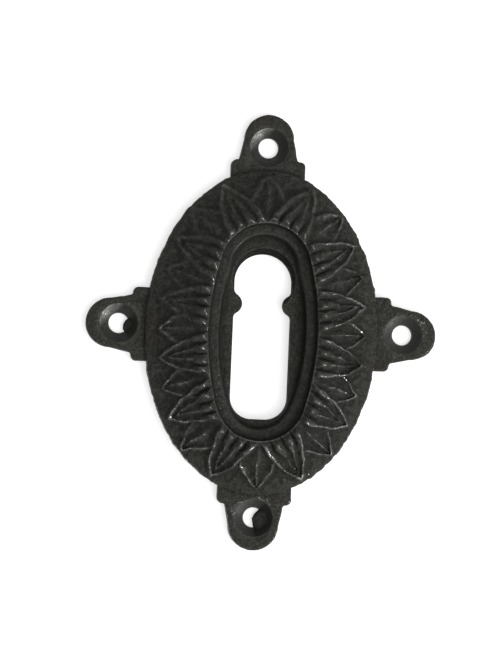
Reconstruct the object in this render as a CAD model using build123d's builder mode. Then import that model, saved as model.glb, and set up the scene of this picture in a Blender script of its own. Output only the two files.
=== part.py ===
from build123d import *
from math import atan2, degrees, radians, sqrt, tan
import os

# Keyhole escutcheon, cast in iron as one piece. An oval plate rises to a wreath of pointed petals
# round a stepped well, the keyhole goes through the floor of the well, and four lugs on the edge
# take countersunk screws. Lengths are in millimetres and angles in degrees. The back lies on Z = 0
# with the origin at its centre, +Z faces out of the drawer front, and +Y points up the keyhole.

# Oval plate
PLATE_WIDTH = 34.0
PLATE_LENGTH = 47.3
RIM_HEIGHT = 2.8
RIM_BEVEL = 0.3

# Ground of the wreath, a straight slope from the rim up to the crest
CREST_WIDTH = 17.0
CREST_LENGTH = 32.6
CREST_FULLNESS = 0.84       # radius of the crest's round ends, as a share of its half width
GROUND_HEIGHT = 6.0

# Petals: a front row of bordered leaves over a back row of ridged ones
PETAL_COUNT = 12
PETAL_FAN = 0.35            # 0 sends every petal square across the plate, 1 straight from its centre
PETAL_ROOT = 0.9            # depth of a petal below the ground
PETAL_OVERRUN = 1.2         # how far a petal runs in past the crest before the well trims it
BARE_RIM = 0.6              # plain ground between the petal tips and the rim, where the band is narrowest
CARVING_SLOPE = 30.0        # lean of the carved walls from upright
FRONT_WIDTH = 5.8
FRONT_RELIEF = 0.8
CHANNEL_DEPTH = 0.45
BORDER_WIDTH = 0.95         # border ridge, across its foot
CHANNEL_FLOOR = 0.6
INNER_RIDGE_WIDTH = 0.75    # ridge round the inner leaf, across its foot
TIP_DRAW = 1.4              # how much faster an inner outline draws back at its tip than at its sides
BACK_ROOT_WIDTH = 1.6
BACK_WIDTH = 5.0
BACK_POINT = 4.2            # length of a back petal from its widest place to its tip
BACK_BULGE = 0.25           # rise of the curved sides of that point over straight ones
BACK_EDGE = 0.25            # height of a back petal at its sides
BACK_RELIEF = 0.6           # height of a back petal along its midrib

# Stepped well
CREST_LIP = 0.4             # how far the petals run in past the crest to the mouth of the well
CREST_BEVEL = 1.2           # height and width of the bevel on the petal ends
SHELF_HEIGHT = 4.6
SHELF_WIDTH = 1.2
FLOOR_HEIGHT = 3.0
WELL_DRAFT = 15.0

# Keyhole, a long slot with a round eye and a pair of nubs at its throat
KEYHOLE_WIDTH = 8.45
EYE_OFFSET = 7.2            # centre of the eye above the centre of the plate
EYE_BEVEL = 0.9             # width of the bevel at the top of the eye, fading out towards the nubs
EYE_BEVEL_DEPTH = 1.6
SLOT_FOOT = 12.65           # foot of the slot below the centre of the plate
SLOT_CORNER = 3.2
THROAT_WIDTH = 6.0
NUB_OFFSET = 4.05           # centre of the nubs above the centre of the plate
NUB_RADIUS = 1.55
NUB_BLEND = 0.8             # rounding where a nub meets the side of the slot

# Screw lugs
LUG_HEIGHT = 2.4
LUG_TIP = 4.8               # tip of a lug beyond its screw hole
LUG_END_WIDTH = 7.2
LUG_FOOT_WIDTH = 8.0
SHOULDER_WIDTH = 10.8
SHOULDER_SETBACK = 1.9      # face of the shoulder behind the screw hole
SHOULDER_ROUND = 0.4
LUG_ROOT = 2.2              # how far a lug runs in under the rim
LUG_BEVEL = 0.3
END_SCREW_REACH = 3.3       # screw hole beyond the rim at the top and bottom
SIDE_SCREW_REACH = 3.75     # screw hole beyond the rim at the sides
SIDE_LUG_RISE = 0.5         # side lugs above the centre of the plate
SCREW_HOLE = 2.9
SCREW_SINK = 5.6
SINK_ANGLE = 90.0

# Hollow back
SEAT_WIDTH = 2.3            # flat band that meets the drawer front
WALL = 2.1                  # iron between the front ground and the hollow, measured upright
CORE_WALL = 1.5             # iron between the foot of the well wall and the hollow

plate_half = (PLATE_WIDTH / 2, PLATE_LENGTH / 2)
crest_half = (CREST_WIDTH / 2, CREST_LENGTH / 2)
end_screw = PLATE_LENGTH / 2 + END_SCREW_REACH
side_screw = PLATE_WIDTH / 2 + SIDE_SCREW_REACH

# The band between crest and rim gives the petals their length and slope
ground_fall = GROUND_HEIGHT - RIM_HEIGHT
band = min(plate_half[0] - crest_half[0], plate_half[1] - crest_half[1])
leaf_length = (band - BARE_RIM) * sqrt(1 + (ground_fall / band) ** 2)

# An oval of the well is given by its half width, half length and end radius
crest_oval = (*crest_half, CREST_FULLNESS * CREST_WIDTH / 2)


def grown(oval, amount):
    """Sizes of an oval that lies outside the given one by an even amount."""
    return tuple(size + amount for size in oval)


def ground_frustum(low_half, low_height, high_half, high_height):
    """Solid with straight sides between two level ellipses."""
    with BuildPart() as frustum:
        with BuildSketch(Plane.XY.offset(low_height)):
            Ellipse(*low_half)
        with BuildSketch(Plane.XY.offset(high_height)):
            Ellipse(*high_half)
        loft(ruled=True)
    return frustum.part


def full_oval(oval):
    """Closed line of an oval drawn with compasses: round end arcs between flat side arcs, from +X on."""
    half_width, half_length, end_radius = oval
    end_centre = half_length - end_radius
    side_radius = (half_width**2 + end_centre**2 - end_radius**2) / (2 * (half_width - end_radius))
    side_centre = side_radius - half_width
    turn = degrees(atan2(end_centre, side_centre))
    with BuildLine() as line:
        CenterArc((-side_centre, 0), side_radius, 0, turn)
        CenterArc((0, end_centre), end_radius, turn, 180 - 2 * turn)
        CenterArc((side_centre, 0), side_radius, 180 - turn, 2 * turn)
        CenterArc((0, -end_centre), end_radius, 180 + turn, 180 - 2 * turn)
        CenterArc((-side_centre, 0), side_radius, -turn, turn)
    return line.wire()


def well_frustum(low_oval, low_height, high_oval, high_height):
    """Solid with straight sides between two level ovals of the well."""
    with BuildPart() as frustum:
        with BuildSketch(Plane.XY.offset(low_height)):
            make_face(full_oval(low_oval).edges())
        with BuildSketch(Plane.XY.offset(high_height)):
            make_face(full_oval(high_oval).edges())
        loft(ruled=True)
    return frustum.part


def pointed_leaf(inset):
    """Outline of a front petal drawn in by an inset, pointing along +Y with its foot on the X axis."""
    half_width = FRONT_WIDTH / 2 - inset
    length = leaf_length - TIP_DRAW * inset
    with BuildSketch() as leaf:
        with BuildLine():
            Polyline(
                (-half_width, 0),
                (-half_width, -PETAL_OVERRUN),
                (half_width, -PETAL_OVERRUN),
                (half_width, 0),
            )
            TangentArc((half_width, 0), (0, length), tangent=(0, 1))
            TangentArc((-half_width, 0), (0, length), tangent=(0, 1))
        make_face()
    return leaf.sketch


def petal_plane(share):
    """Plane of the petal that stands at a share of the way round the crest, with Y down the slope."""
    root = crest @ share
    heading = Vector(root.X, PETAL_FAN * root.Y).normalized()
    # Distance along the heading from the crest to the rim of the plate
    a = (heading.X / plate_half[0]) ** 2 + (heading.Y / plate_half[1]) ** 2
    b = root.X * heading.X / plate_half[0] ** 2 + root.Y * heading.Y / plate_half[1] ** 2
    c = (root.X / plate_half[0]) ** 2 + (root.Y / plate_half[1]) ** 2 - 1
    run = (sqrt(b * b - a * c) - b) / a
    down_slope = heading * run - Vector(0, 0, ground_fall)
    across = heading.cross(Vector(0, 0, 1))
    return Plane((root.X, root.Y, GROUND_HEIGHT), x_dir=across, z_dir=across.cross(down_slope))


crest = full_oval(crest_oval)
channel_inset = BORDER_WIDTH
inner_inset = channel_inset + CHANNEL_FLOOR
groove_inset = inner_inset + INNER_RIDGE_WIDTH
channel_height = FRONT_RELIEF - CHANNEL_DEPTH

# Front petal: a bordered leaf with a smaller grooved leaf inside it
with BuildPart() as front_petal:
    with BuildSketch(Plane.XY.offset(-PETAL_ROOT)):
        add(pointed_leaf(0))
    extrude(amount=PETAL_ROOT)
    with BuildSketch():
        add(pointed_leaf(0))
    extrude(amount=FRONT_RELIEF, taper=CARVING_SLOPE)
    with BuildSketch(Plane.XY.offset(channel_height)):
        add(pointed_leaf(channel_inset))
    extrude(amount=CHANNEL_DEPTH, taper=-CARVING_SLOPE, mode=Mode.SUBTRACT)
    with BuildSketch(Plane.XY.offset(channel_height)):
        add(pointed_leaf(inner_inset))
    extrude(amount=CHANNEL_DEPTH, taper=CARVING_SLOPE)
    with BuildSketch(Plane.XY.offset(channel_height)):
        add(pointed_leaf(groove_inset))
    extrude(amount=CHANNEL_DEPTH, taper=-CARVING_SLOPE, mode=Mode.SUBTRACT)

# Back petal: a broad leaf, narrow at its root, that rises to a midrib
back_belly = leaf_length - BACK_POINT
with BuildPart() as back_petal:
    with BuildSketch(Plane.XY.offset(-PETAL_ROOT)):
        with BuildLine():
            Polyline(
                (-BACK_WIDTH / 2, back_belly),
                (-BACK_ROOT_WIDTH / 2, 0),
                (-BACK_ROOT_WIDTH / 2, -PETAL_OVERRUN),
                (BACK_ROOT_WIDTH / 2, -PETAL_OVERRUN),
                (BACK_ROOT_WIDTH / 2, 0),
                (BACK_WIDTH / 2, back_belly),
            )
            SagittaArc((BACK_WIDTH / 2, back_belly), (0, leaf_length), -BACK_BULGE)
            SagittaArc((-BACK_WIDTH / 2, back_belly), (0, leaf_length), BACK_BULGE)
        make_face()
    extrude(amount=PETAL_ROOT + BACK_RELIEF)
    with BuildSketch(Plane.XZ):
        with BuildLine():
            Polyline(
                (-BACK_WIDTH, -PETAL_ROOT),
                (BACK_WIDTH, -PETAL_ROOT),
                (BACK_WIDTH / 2, BACK_EDGE),
                (0, BACK_RELIEF),
                (-BACK_WIDTH / 2, BACK_EDGE),
                close=True,
            )
        make_face()
    extrude(amount=leaf_length + PETAL_OVERRUN, both=True, mode=Mode.INTERSECT)

# Lug, pointing along +Y with its screw hole at the origin
lug_root = max(END_SCREW_REACH, SIDE_SCREW_REACH) + LUG_ROOT
end_radius = LUG_END_WIDTH / 2
end_centre = LUG_TIP - end_radius
with BuildPart() as lug:
    with BuildSketch():
        with BuildLine():
            Line((LUG_FOOT_WIDTH / 2, -SHOULDER_SETBACK), (end_radius, end_centre))
            ThreePointArc((end_radius, end_centre), (0, LUG_TIP), (-end_radius, end_centre))
            Polyline(
                (-end_radius, end_centre),
                (-LUG_FOOT_WIDTH / 2, -SHOULDER_SETBACK),
                (-SHOULDER_WIDTH / 2, -SHOULDER_SETBACK),
                (-SHOULDER_WIDTH / 2, -lug_root),
                (SHOULDER_WIDTH / 2, -lug_root),
                (SHOULDER_WIDTH / 2, -SHOULDER_SETBACK),
                (LUG_FOOT_WIDTH / 2, -SHOULDER_SETBACK),
            )
        outline = make_face()
        shoulders = outline.vertices().filter_by_position(Axis.Y, -SHOULDER_SETBACK, -SHOULDER_SETBACK)
        fillet(shoulders, SHOULDER_ROUND)
    extrude(amount=LUG_HEIGHT)
    chamfer(lug.faces().sort_by(Axis.Z)[-1].edges(), LUG_BEVEL)

draft = tan(radians(WELL_DRAFT))
mouth_height = GROUND_HEIGHT + channel_height
mouth_oval = grown(crest_oval, -CREST_LIP)
shelf_oval = grown(mouth_oval, -(mouth_height - SHELF_HEIGHT) * draft)
ledge_oval = grown(shelf_oval, -SHELF_WIDTH)
floor_oval = grown(ledge_oval, -(SHELF_HEIGHT - FLOOR_HEIGHT) * draft)

# Well: a bevelled mouth, a drafted wall down to a shelf, and a second wall down to the floor
with BuildPart() as well:
    add(well_frustum(mouth_oval, mouth_height, grown(mouth_oval, CREST_BEVEL), mouth_height + CREST_BEVEL))
    add(well_frustum(shelf_oval, SHELF_HEIGHT, mouth_oval, mouth_height))
    add(well_frustum(floor_oval, FLOOR_HEIGHT, ledge_oval, SHELF_HEIGHT))

# Bevel of the eye, wider than the eye at its rim and narrower at its foot
bevel_foot = KEYHOLE_WIDTH / 2 - EYE_BEVEL / 2
bevel_rim = KEYHOLE_WIDTH / 2 + EYE_BEVEL / 2
with BuildPart() as eye_bevel:
    Cone(bevel_foot, bevel_rim, EYE_BEVEL_DEPTH, align=(Align.CENTER, Align.CENTER, Align.MAX))

# Hollow behind the wreath, under an even wall, with the core round the keyhole left standing
with BuildPart() as hollow:
    with BuildSketch():
        Ellipse(*grown(plate_half, -SEAT_WIDTH))
    extrude(amount=RIM_HEIGHT - WALL)
    add(ground_frustum(plate_half, RIM_HEIGHT - WALL, crest_half, GROUND_HEIGHT - WALL))
    with BuildSketch():
        Ellipse(*grown(plate_half, -SEAT_WIDTH))
    extrude(amount=GROUND_HEIGHT, mode=Mode.INTERSECT)
    with BuildSketch():
        make_face(full_oval(grown(shelf_oval, CORE_WALL)).edges())
    extrude(amount=GROUND_HEIGHT, mode=Mode.SUBTRACT)

with BuildPart() as escutcheon:
    with BuildSketch():
        Ellipse(*plate_half)
    extrude(amount=RIM_HEIGHT)
    add(ground_frustum(plate_half, RIM_HEIGHT, crest_half, GROUND_HEIGHT))
    rim = escutcheon.edges().filter_by(GeomType.LINE, reverse=True).group_by(Axis.Z)[1]
    chamfer(rim, RIM_BEVEL)
    with Locations(
        Location((0, end_screw, 0)),
        Location((0, -end_screw, 0), (0, 0, 180)),
        Location((side_screw, SIDE_LUG_RISE, 0), (0, 0, -90)),
        Location((-side_screw, SIDE_LUG_RISE, 0), (0, 0, 90)),
    ):
        add(lug.part)
    with Locations(*[petal_plane(k / PETAL_COUNT) for k in range(PETAL_COUNT)]):
        add(back_petal.part)
    with Locations(*[petal_plane((k + 0.5) / PETAL_COUNT) for k in range(PETAL_COUNT)]):
        add(front_petal.part)
    add(well.part, mode=Mode.SUBTRACT)
    add(hollow.part, mode=Mode.SUBTRACT)
    with BuildSketch() as keyhole:
        with Locations((0, EYE_OFFSET)):
            Circle(KEYHOLE_WIDTH / 2)
            Rectangle(KEYHOLE_WIDTH, EYE_OFFSET + SLOT_FOOT, align=(Align.CENTER, Align.MAX))
        fillet(keyhole.vertices().group_by(Axis.Y)[0], SLOT_CORNER)
        with Locations(
            (THROAT_WIDTH / 2 + NUB_RADIUS, NUB_OFFSET), (-THROAT_WIDTH / 2 - NUB_RADIUS, NUB_OFFSET)
        ):
            Circle(NUB_RADIUS, mode=Mode.SUBTRACT)
        nub_feet = keyhole.vertices().filter_by_position(
            Axis.Y, NUB_OFFSET - NUB_RADIUS, NUB_OFFSET + NUB_RADIUS
        )
        fillet(nub_feet, NUB_BLEND)
    extrude(amount=mouth_height, mode=Mode.SUBTRACT)
    # Set off upwards by half its width, the bevel dies out at the nubs
    with Locations((0, EYE_OFFSET + EYE_BEVEL / 2, FLOOR_HEIGHT)):
        add(eye_bevel.part, mode=Mode.SUBTRACT)
    with Locations(
        (0, end_screw, LUG_HEIGHT),
        (0, -end_screw, LUG_HEIGHT),
        (side_screw, SIDE_LUG_RISE, LUG_HEIGHT),
        (-side_screw, SIDE_LUG_RISE, LUG_HEIGHT),
    ):
        CounterSinkHole(SCREW_HOLE / 2, SCREW_SINK / 2, LUG_HEIGHT, SINK_ANGLE)

escutcheon.part.label = "escutcheon"
os.makedirs("parts", exist_ok=True)
export_step(escutcheon.part, "parts/escutcheon.step")
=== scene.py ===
"""Dresses the keyhole escutcheon: one iron casting with a carved petal wreath, on a pale studio floor."""

import math

import bpy
from mathutils import Matrix, Vector


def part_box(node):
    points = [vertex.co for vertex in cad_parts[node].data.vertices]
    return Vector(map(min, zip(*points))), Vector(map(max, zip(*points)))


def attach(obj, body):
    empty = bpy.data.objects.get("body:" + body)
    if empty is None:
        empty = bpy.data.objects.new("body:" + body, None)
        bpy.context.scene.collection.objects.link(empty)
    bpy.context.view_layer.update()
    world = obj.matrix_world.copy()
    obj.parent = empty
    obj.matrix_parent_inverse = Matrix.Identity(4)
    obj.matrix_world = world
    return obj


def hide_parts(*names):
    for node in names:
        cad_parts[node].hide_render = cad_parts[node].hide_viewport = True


bl_info = {
    "name": "Cast Keyhole Escutcheon",
    "version": (1, 0, 0),
    "blender": (4, 5, 0),
    "location": "View3D > Sidebar > Escutcheon",
    "description": "Carves the petal wreath of an iron keyhole escutcheon and sets up its studio",
    "category": "Add Mesh",
}

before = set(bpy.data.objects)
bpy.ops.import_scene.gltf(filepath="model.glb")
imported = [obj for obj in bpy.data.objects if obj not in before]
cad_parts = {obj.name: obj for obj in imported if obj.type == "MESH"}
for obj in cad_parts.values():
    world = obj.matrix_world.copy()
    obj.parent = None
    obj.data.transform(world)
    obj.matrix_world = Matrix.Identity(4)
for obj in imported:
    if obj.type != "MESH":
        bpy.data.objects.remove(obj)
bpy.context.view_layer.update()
NODE = "escutcheon"
BODY = "root"
NODE_LOW, NODE_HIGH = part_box(NODE)

# Shapes are worked out in millimetres, and the finished mesh is brought to metres
MM = 0.001


def length(name, description, millimetres):
    """A size property, given in millimetres."""
    return bpy.props.FloatProperty(
        name=name, description=description, default=millimetres * MM, unit="LENGTH", subtype="DISTANCE", precision=5
    )


def share(name, description, value):
    """A property without a unit."""
    return bpy.props.FloatProperty(name=name, description=description, default=value, subtype="FACTOR")


def colour(name, description, value):
    """A colour property, as linear red, green and blue."""
    return bpy.props.FloatVectorProperty(
        name=name, description=description, default=value, size=3, min=0.0, max=1.0, subtype="COLOR"
    )


class CastingSizes(bpy.types.PropertyGroup):
    """Plate, well, keyhole and lugs of the casting."""

    plate_half_width: length("Plate half width", "Half the oval plate's width", 17.0)
    plate_half_length: length("Plate half length", "Half the oval plate's length", 23.65)
    rim_height: length("Rim height", "Top of the oval rim above the back", 2.8)
    rim_round: length("Rim rounding", "Radius of the rim's worn edge", 0.4)
    crest_half_width: length("Crest half width", "Half the width of the oval where the petals start", 8.5)
    crest_half_length: length("Crest half length", "Half the length of the oval where the petals start", 16.3)
    crest_end_radius: length("Crest end radius", "Radius of that oval's round ends", 7.14)
    crest_height: length("Crest height", "Ground of the wreath at the crest, above the back", 6.0)
    mouth_inset: length("Mouth inset", "Mouth of the well inside the crest", 0.4)
    mouth_height: length("Mouth height", "Top of the well's wall above the back", 6.35)
    shelf_inset: length("Shelf inset", "Foot of the well's upper wall inside the crest", 0.87)
    shelf_height: length("Shelf height", "Shelf in the well above the back", 4.6)
    ledge_inset: length("Ledge inset", "Inner edge of the shelf inside the crest", 2.07)
    floor_inset: length("Floor inset", "Foot of the well's lower wall inside the crest", 2.5)
    floor_height: length("Floor height", "Floor of the well above the back", 3.0)
    well_round: length("Well rounding", "Radius of the cast corners in the well", 0.28)
    seat_width: length("Seat width", "Flat band at the back that meets the wood", 2.3)
    core_growth: length("Core growth", "Core round the keyhole, outside the crest", 0.63)
    keyhole_width: length("Keyhole width", "Width of the slot and the eye", 8.45)
    eye_offset: length("Eye offset", "Centre of the eye above the centre of the plate", 7.2)
    slot_foot: length("Slot foot", "Foot of the slot below the centre of the plate", 12.65)
    slot_corner: length("Slot corner", "Radius of the slot's lower corners", 3.2)
    throat_width: length("Throat width", "Gap between the two nubs", 6.0)
    nub_offset: length("Nub offset", "Centre of the nubs above the centre of the plate", 4.05)
    nub_radius: length("Nub radius", "Radius of the nubs", 1.55)
    eye_bevel: length("Eye bevel", "Width of the bevel at the top of the eye", 0.9)
    eye_bevel_depth: length("Eye bevel depth", "Depth of that bevel", 1.6)
    lug_height: length("Lug height", "Top of the lugs above the back", 2.4)
    lug_tip: length("Lug tip", "Tip of a lug beyond its screw hole", 4.8)
    lug_end_width: length("Lug end width", "Width of a lug's round end", 7.2)
    lug_foot_width: length("Lug foot width", "Width of a lug at its shoulder", 8.0)
    shoulder_width: length("Shoulder width", "Width of a lug's shoulder", 10.8)
    shoulder_setback: length("Shoulder setback", "Face of the shoulder behind the screw hole", 1.9)
    side_rise: length("Side rise", "Side lugs above the centre of the plate", 0.5)
    lug_root: length("Lug root", "Root of a lug behind its screw hole", 5.95)
    lug_round: length("Lug rounding", "Radius of a lug's worn edges", 0.4)
    screw_hole: length("Screw hole", "Diameter of the screw holes", 2.9)
    screw_sink: length("Screw sink", "Diameter of the countersinks", 5.6)


class PetalCarving(bpy.types.PropertyGroup):
    """Wreath of front and back petals."""

    count: bpy.props.IntProperty(name="Petals", description="Front petals in the wreath", default=12, min=3)
    fan: share("Fan", "0 sends every petal square across the plate, 1 straight from its centre", 0.35)
    border_half: length("Border half width", "Border ridge of a front petal from its axis, at the root", 2.42)
    border_reach: length("Border reach", "Tip of the border ridge from the crest", 6.3)
    inner_half: length("Inner half width", "Inner ridge of a front petal from its axis, at the root", 0.86)
    inner_reach: length("Inner reach", "Tip of the inner ridge from the crest", 5.05)
    relief: length("Relief", "Height of a front petal above the ground", 0.8)
    wall: length("Wall", "Width of a front petal's outer wall", 0.62)
    channel: length("Channel depth", "Depth of the channel inside the border", 0.5)
    groove: length("Groove depth", "Depth of the groove inside the inner ridge", 0.42)
    back_half: length("Back half width", "Lip of a back petal from its axis, at the root", 2.75)
    back_reach: length("Back reach", "Tip of a back petal's lip from the crest", 6.35)
    back_edge: length("Back edge", "Height of a back petal at its lip", 0.6)
    back_midrib: length("Back midrib", "Height of a back petal along its midrib", 0.62)
    back_flute: length("Back flute", "Depth of the hollow between midrib and lip", 0.48)
    wander: length("Wander", "How far the hand-cut lines stray", 0.7)
    unevenness: share("Unevenness", "How much the relief varies round the wreath", 1.0)
    skin: length("Skin", "Height of the sand-cast skin", 0.2)
    seed: share("Seed", "Place in the noise that makes the lines and the skin uneven", 3.7)


class IronFinish(bpy.types.PropertyGroup):
    """Colours and gloss of the old waxed iron, with the colours of its painted shade and painted highlight."""

    iron: colour("Iron", "Blackened iron", (0.0545, 0.0562, 0.0478))
    # Ridges take this colour in place of the darker specks: wear, laid on more strongly towards the key light as a
    # painted highlight.
    worn: colour("Worn iron", "Iron rubbed bare on ridges", (0.05, 0.051, 0.0456))
    # This dark colour gives random mottle and specks, and also paints the shade in recesses, on the well's wall bands
    # and at their feet.
    hollow: colour("Hollows", "Dark wax and dirt in the hollows", (0.0145, 0.0152, 0.0125))
    rust: colour("Rust", "Old rust showing through the wax", (0.05, 0.033, 0.0265))
    drilled: colour("Drilled iron", "Countersinks, cut with a drill", (0.03, 0.03, 0.0262))
    # A painted highlight: this bright metal is laid on the side of each countersink that faces the key light.
    sink_highlight: colour("Bare iron", "Countersinks where screw heads have rubbed them bright", (0.4, 0.4, 0.38))
    # Painted shade: the keyhole's wall and the eye's bevel take this near-black colour.
    keyhole_shade: colour("Keyhole wall", "Sooty wall of the keyhole, which no hand reaches", (0.009, 0.0095, 0.008))
    roughness: share("Roughness", "Roughness of the waxed skin", 0.58)
    grain: length("Grain", "Size of the sand grain", 0.3)
    grain_height: length("Grain height", "Height of the sand grain", 0.24)
    polish: share("Polish", "Wax shine where hands have rubbed the ridges", 1.0)


class StudioSetup(bpy.types.PropertyGroup):
    """Camera and lights."""

    distance: length("Camera distance", "Camera above the back of the part", 400.0)
    pixel: length("Pixel", "Size of one picture element at the part", 0.14574)
    lean_left: bpy.props.FloatProperty(
        name="Lean left", description="Camera's lean to the left of straight above", default=math.radians(4.5),
        subtype="ANGLE",
    )
    lean_down: bpy.props.FloatProperty(
        name="Lean down", description="Camera's lean below straight above", default=math.radians(1.2), subtype="ANGLE"
    )
    roll: bpy.props.FloatProperty(
        name="Roll", description="Turn of the camera about its view", default=math.radians(2.45), subtype="ANGLE"
    )
    key_power: bpy.props.FloatProperty(
        name="Key power", description="Power of the key light", default=0.9, unit="POWER"
    )
    fill_power: bpy.props.FloatProperty(
        name="Fill power", description="Power of the soft light from above", default=1.2, unit="POWER"
    )
    sky: share("Sky", "Strength of the even light from all round", 0.36)
    floor: colour("Floor", "Pale studio floor", (0.86, 0.86, 0.86))


PROPERTY_GROUPS = {
    "escutcheon_sizes": CastingSizes,
    "escutcheon_carving": PetalCarving,
    "escutcheon_finish": IronFinish,
    "escutcheon_studio": StudioSetup,
}


def in_millimetres(sizes):
    """A reader of named sizes in millimetres."""
    return lambda name: getattr(sizes, name) / MM


class Field:
    """A value that varies over a surface. Arithmetic on it adds nodes to its tree."""

    def __init__(self, tree, socket):
        self.tree = tree
        self.socket = socket

    def math(self, operation, *others):
        return math_node(self.tree, operation, self, *others)

    def __add__(self, other):
        return self.math("ADD", other)

    def __sub__(self, other):
        return self.math("SUBTRACT", other)

    def __mul__(self, other):
        return self.math("MULTIPLY", other)

    def __truediv__(self, other):
        return self.math("DIVIDE", other)

    def __rsub__(self, other):
        return math_node(self.tree, "SUBTRACT", other, self)

    def __rtruediv__(self, other):
        return math_node(self.tree, "DIVIDE", other, self)

    __radd__ = __add__
    __rmul__ = __mul__

    def abs(self):
        return self.math("ABSOLUTE")

    def sqrt(self):
        return self.math("SQRT")

    def floor(self):
        return self.math("FLOOR")

    def round(self):
        return self.math("ROUND")

    def squared(self):
        return self * self

    def at_least(self, other):
        return self.math("MAXIMUM", other)

    def at_most(self, other):
        return self.math("MINIMUM", other)

    def soft_max(self, other, blend):
        return self.math("SMOOTH_MAX", other, blend)

    def soft_min(self, other, blend):
        return self.math("SMOOTH_MIN", other, blend)

    def ramp(self, start, end):
        """0 at start and 1 at end, with a smooth way between."""
        node = self.tree.nodes.new("ShaderNodeMapRange")
        node.interpolation_type = "SMOOTHSTEP"
        wire(self.tree, self, node.inputs["Value"])
        wire(self.tree, start, node.inputs["From Min"])
        wire(self.tree, end, node.inputs["From Max"])
        return Field(self.tree, node.outputs["Result"])


def wire(tree, value, socket):
    """Links a field to a socket, or sets a plain value on it."""
    if isinstance(value, Field):
        tree.links.new(value.socket, socket)
    else:
        socket.default_value = value


def math_node(tree, operation, *values):
    """A Math node on fields and plain numbers."""
    node = tree.nodes.new("ShaderNodeMath")
    node.operation = operation
    for value, socket in zip(values, node.inputs):
        wire(tree, value, socket)
    return Field(tree, node.outputs[0])


def add_node(tree, kind, settings=None, output=0, **inputs):
    """A node with its settings and inputs. Input names have underscores for spaces."""
    node = tree.nodes.new(kind)
    for name, value in (settings or {}).items():
        setattr(node, name, value)
    for name, value in inputs.items():
        wire(tree, value, node.inputs[name.replace("_", " ")])
    return Field(tree, node.outputs[output])


def split(vector):
    """The three parts of a vector field."""
    node = vector.tree.nodes.new("ShaderNodeSeparateXYZ")
    wire(vector.tree, vector, node.inputs[0])
    return [Field(vector.tree, socket) for socket in node.outputs]


def joined(tree, x, y, z):
    """A vector field from three parts."""
    return add_node(tree, "ShaderNodeCombineXYZ", X=x, Y=y, Z=z)


def hypotenuse(a, b):
    """Length of the long side over two fields at a right angle."""
    return (a.squared() + b.squared()).sqrt()


def vector_math(tree, operation, first, second=None, scale=None, output=0):
    """A Vector Math node on vector fields."""
    node = tree.nodes.new("ShaderNodeVectorMath")
    node.operation = operation
    wire(tree, first, node.inputs[0])
    if second is not None:
        wire(tree, second, node.inputs[1])
    if scale is not None:
        wire(tree, scale, node.inputs["Scale"])
    return Field(tree, node.outputs[output])


def noise(tree, place, scale, detail, roughness=0.5):
    """Noise about 0, at so many waves to the unit."""
    fac = add_node(tree, "ShaderNodeTexNoise", Vector=place, Scale=scale, Detail=detail, Roughness=roughness)
    return fac - 0.5


def rounded_path(corners):
    """Points along a path. Each corner is (x, z, radius, steps), and a radius of 0 keeps it sharp."""
    path = []
    for k, (x, z, radius, steps) in enumerate(corners):
        here = Vector((x, z))
        if radius == 0:
            path.append(here)
            continue
        back = (Vector(corners[k - 1][:2]) - here).normalized()
        ahead = (Vector(corners[(k + 1) % len(corners)][:2]) - here).normalized()
        half_angle = back.angle(ahead) / 2
        reach = radius / math.tan(half_angle)
        centre = here + (back + ahead).normalized() * radius / math.sin(half_angle)
        for step in range(steps + 1):
            spoke = (here + back * reach - centre).lerp(here + ahead * reach - centre, step / steps)
            path.append(centre + spoke.normalized() * radius)
    return path


def casting_section(sizes):
    """Closed section of the oval casting, as rows of (share of the band, growth, height, carving).

    The share runs from 0 at the crest to 1 at the rim, and the growth is an even offset from that oval.
    """
    mm = in_millimetres(sizes)
    blank_inset = 5.5
    bend = mm("well_round")
    rows = []
    inner = rounded_path(
        [
            (-blank_inset, mm("floor_height"), 0, 0),
            (-mm("floor_inset") - 1.0, mm("floor_height"), 0, 0),
            (-mm("floor_inset"), mm("floor_height"), bend, 3),
            (-mm("ledge_inset"), mm("shelf_height"), bend, 4),
            (-mm("shelf_inset"), mm("shelf_height"), bend, 3),
            (-mm("mouth_inset") - 0.28, mm("mouth_height") - 1.05, 0, 0),
        ]
    )
    rows += [(0, e, z, 0) for e, z in inner]
    for step in (0.35, 0.7):
        rows.append((0, -mm("mouth_inset") - 0.28 * (1 - step), mm("mouth_height") - 1.05 * (1 - step), step))
    lip_steps = 4
    for step in range(lip_steps):
        rows.append((0, -mm("mouth_inset") * (1 - step / lip_steps), mm("crest_height"), 1))
    fall = mm("crest_height") - mm("rim_height")
    knuckle_share, knuckle_steps, leaf_steps = 0.22, 18, 46
    band = [knuckle_share * step / knuckle_steps for step in range(knuckle_steps)]
    band += [knuckle_share + (0.955 - knuckle_share) * step / leaf_steps for step in range(leaf_steps + 1)]
    rows += [(q, 0, mm("crest_height") - fall * q, 1) for q in band]
    rim_height = mm("rim_height")
    outer = rounded_path(
        [
            (-0.35, rim_height + 0.13, 0, 0),
            (0, rim_height, mm("rim_round"), 4),
            (0, 0, 0.25, 3),
            (-mm("seat_width"), 0, 0, 0),
            (-mm("seat_width"), 1.5, 0, 0),
        ]
    )[1:]
    rows += [(1, e, z, 0) for e, z in outer]
    rows += [
        (0.5, (mm("core_growth") - mm("seat_width")) / 2, 2.6, 0),
        (0, mm("core_growth"), 3.65, 0),
        (0, mm("core_growth"), 0, 0),
        (0, -blank_inset, 0, 0),
    ]
    return rows


def section_object(rows):
    """The section as a bare row of points, for the node tree to carry round the oval."""
    mesh = bpy.data.meshes.new("casting_section")
    mesh.from_pydata([row[:3] for row in rows], [], [])
    carved = mesh.attributes.new("carved", "FLOAT", "POINT")
    for point, row in zip(carved.data, rows):
        point.value = row[3]
    section = bpy.data.objects.new("cast_escutcheon", mesh)
    bpy.context.scene.collection.objects.link(section)
    return section


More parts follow.
